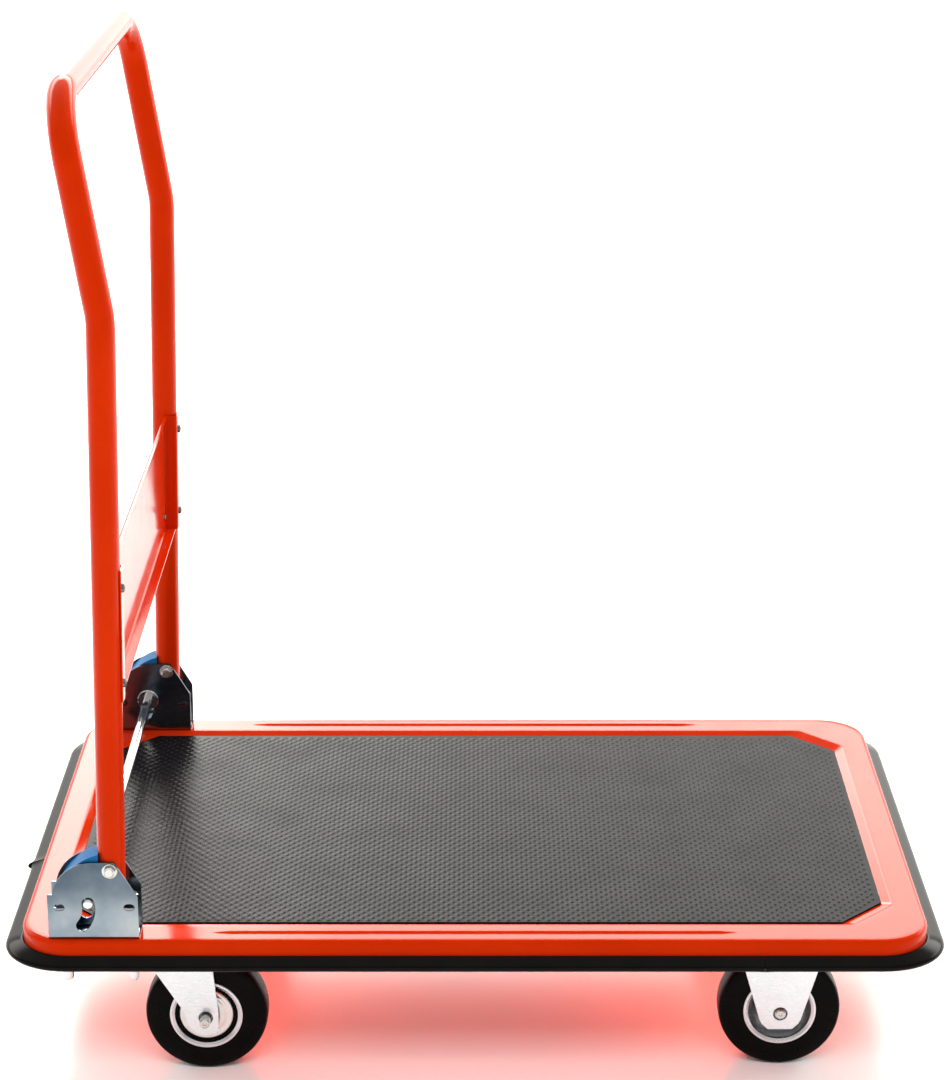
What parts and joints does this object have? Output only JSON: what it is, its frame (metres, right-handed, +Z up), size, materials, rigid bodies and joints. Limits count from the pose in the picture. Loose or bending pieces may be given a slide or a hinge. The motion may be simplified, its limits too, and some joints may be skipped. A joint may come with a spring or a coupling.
{
  "type": "flatbed platform truck",
  "caption": "Flatbed platform truck with a steel deck, anti-slip mat, rubber bumper, folding tube handle with a foot lock, and swivel and rigid casters.",
  "frame": {"origin": "on the floor under the middle of the deck's bounding box", "axes": "+X forward, away from the folding handle; +Y to the left; +Z up"},
  "size_m": [0.74, 0.48, 0.816],
  "materials": {
    "deck_paint": "glossy orange-red powder coat",
    "handle_paint": "glossy orange-red powder coat",
    "mat_pvc": "dark grey PVC with a fine raised lattice",
    "bumper_rubber": "semi-gloss black rubber",
    "bracket_zinc": "bright zinc plate, slightly blue",
    "fastener_zinc": "bright zinc plate",
    "bright_rod": "polished plated bar",
    "guard_plastic": "blue moulded plastic",
    "caster_zinc": "bright zinc plate",
    "ball_steel": "hardened steel, greased",
    "tyre_rubber": "smooth black rubber",
    "rim_steel": "zinc-plated pressed steel",
    "hub_zinc": "zinc-plated pressed steel"
  },
  "bodies": {
    "deck": {"deck_pan": "deck_paint", "anti_slip_mat": "mat_pvc", "bumper_left": "bumper_rubber", "bumper_right": "bumper_rubber", "cross_member_rear": "deck_paint", "cross_member_front": "deck_paint", "hinge_bracket_left": "bracket_zinc", "hinge_bracket_right": "bracket_zinc", "bracket_bolts": "fastener_zinc", "bracket_cap_nuts": "fastener_zinc", "pivot_bolt_left": "fastener_zinc", "pivot_bolt_right": "fastener_zinc", "lever_pins": "bracket_zinc", "return_springs": "bright_rod", "caster_bolts": "fastener_zinc", "caster_nuts": "fastener_zinc", "swivel_plate_left": "caster_zinc", "swivel_plate_right": "caster_zinc", "swivel_balls_left": "ball_steel", "swivel_balls_right": "ball_steel", "kingpin_left": "caster_zinc", "kingpin_right": "caster_zinc", "rigid_fork_left": "caster_zinc", "rigid_fork_right": "caster_zinc", "axle_front_left": "fastener_zinc", "axle_front_right": "fastener_zinc"},
    "handle": {"handle_tube": "handle_paint", "cross_panel": "handle_paint", "panel_screws": "fastener_zinc", "finger_guard_left": "guard_plastic", "finger_guard_right": "guard_plastic"},
    "lock_bar": {"lock_rod": "bright_rod", "lock_levers": "bracket_zinc", "rod_clip": "bracket_zinc"},
    "swivel_left": {"swivel_fork_left": "caster_zinc", "axle_rear_left": "fastener_zinc"},
    "swivel_right": {"swivel_fork_right": "caster_zinc", "axle_rear_right": "fastener_zinc"},
    "wheel_rear_left": {"tyre_rear_left": "tyre_rubber", "rim_rear_left": "rim_steel", "bearing_rear_left": "ball_steel", "hub_caps_rear_left": "hub_zinc"},
    "wheel_rear_right": {"tyre_rear_right": "tyre_rubber", "rim_rear_right": "rim_steel", "bearing_rear_right": "ball_steel", "hub_caps_rear_right": "hub_zinc"},
    "wheel_front_left": {"tyre_front_left": "tyre_rubber", "rim_front_left": "rim_steel", "bearing_front_left": "ball_steel", "hub_caps_front_left": "hub_zinc"},
    "wheel_front_right": {"tyre_front_right": "tyre_rubber", "rim_front_right": "rim_steel", "bearing_front_right": "ball_steel", "hub_caps_front_right": "hub_zinc"}
  },
  "joints": [
    {"name": "handle_fold", "type": "hinge", "parent": "deck", "child": "handle", "pos_m": [-0.285, 0, 0.204], "axis": [0, 1, 0], "range_deg": [0, 90]},
    {"name": "lock_swing", "type": "hinge", "parent": "deck", "child": "lock_bar", "pos_m": [-0.326, 0, 0.172], "axis": [0, 1, 0], "range_deg": [0, 50], "stiffness_Nm_per_rad": 0.6, "springref_deg": -20.05},
    {"name": "swivel_left_turn", "type": "hinge", "parent": "deck", "child": "swivel_left", "pos_m": [-0.249, 0.16, 0.106], "axis": [0, 0, 1], "continuous": true},
    {"name": "swivel_right_turn", "type": "hinge", "parent": "deck", "child": "swivel_right", "pos_m": [-0.249, -0.16, 0.106], "axis": [0, 0, 1], "continuous": true},
    {"name": "wheel_rear_left_roll", "type": "hinge", "parent": "swivel_left", "child": "wheel_rear_left", "pos_m": [-0.219, 0.16, 0.05], "axis": [0, 1, 0], "continuous": true},
    {"name": "wheel_rear_right_roll", "type": "hinge", "parent": "swivel_right", "child": "wheel_rear_right", "pos_m": [-0.219, -0.16, 0.05], "axis": [0, 1, 0], "continuous": true},
    {"name": "wheel_front_left_roll", "type": "hinge", "parent": "deck", "child": "wheel_front_left", "pos_m": [0.249, 0.153, 0.05], "axis": [0, 1, 0], "continuous": true},
    {"name": "wheel_front_right_roll", "type": "hinge", "parent": "deck", "child": "wheel_front_right", "pos_m": [0.249, -0.153, 0.05], "axis": [0, 1, 0], "continuous": true}
  ]
}
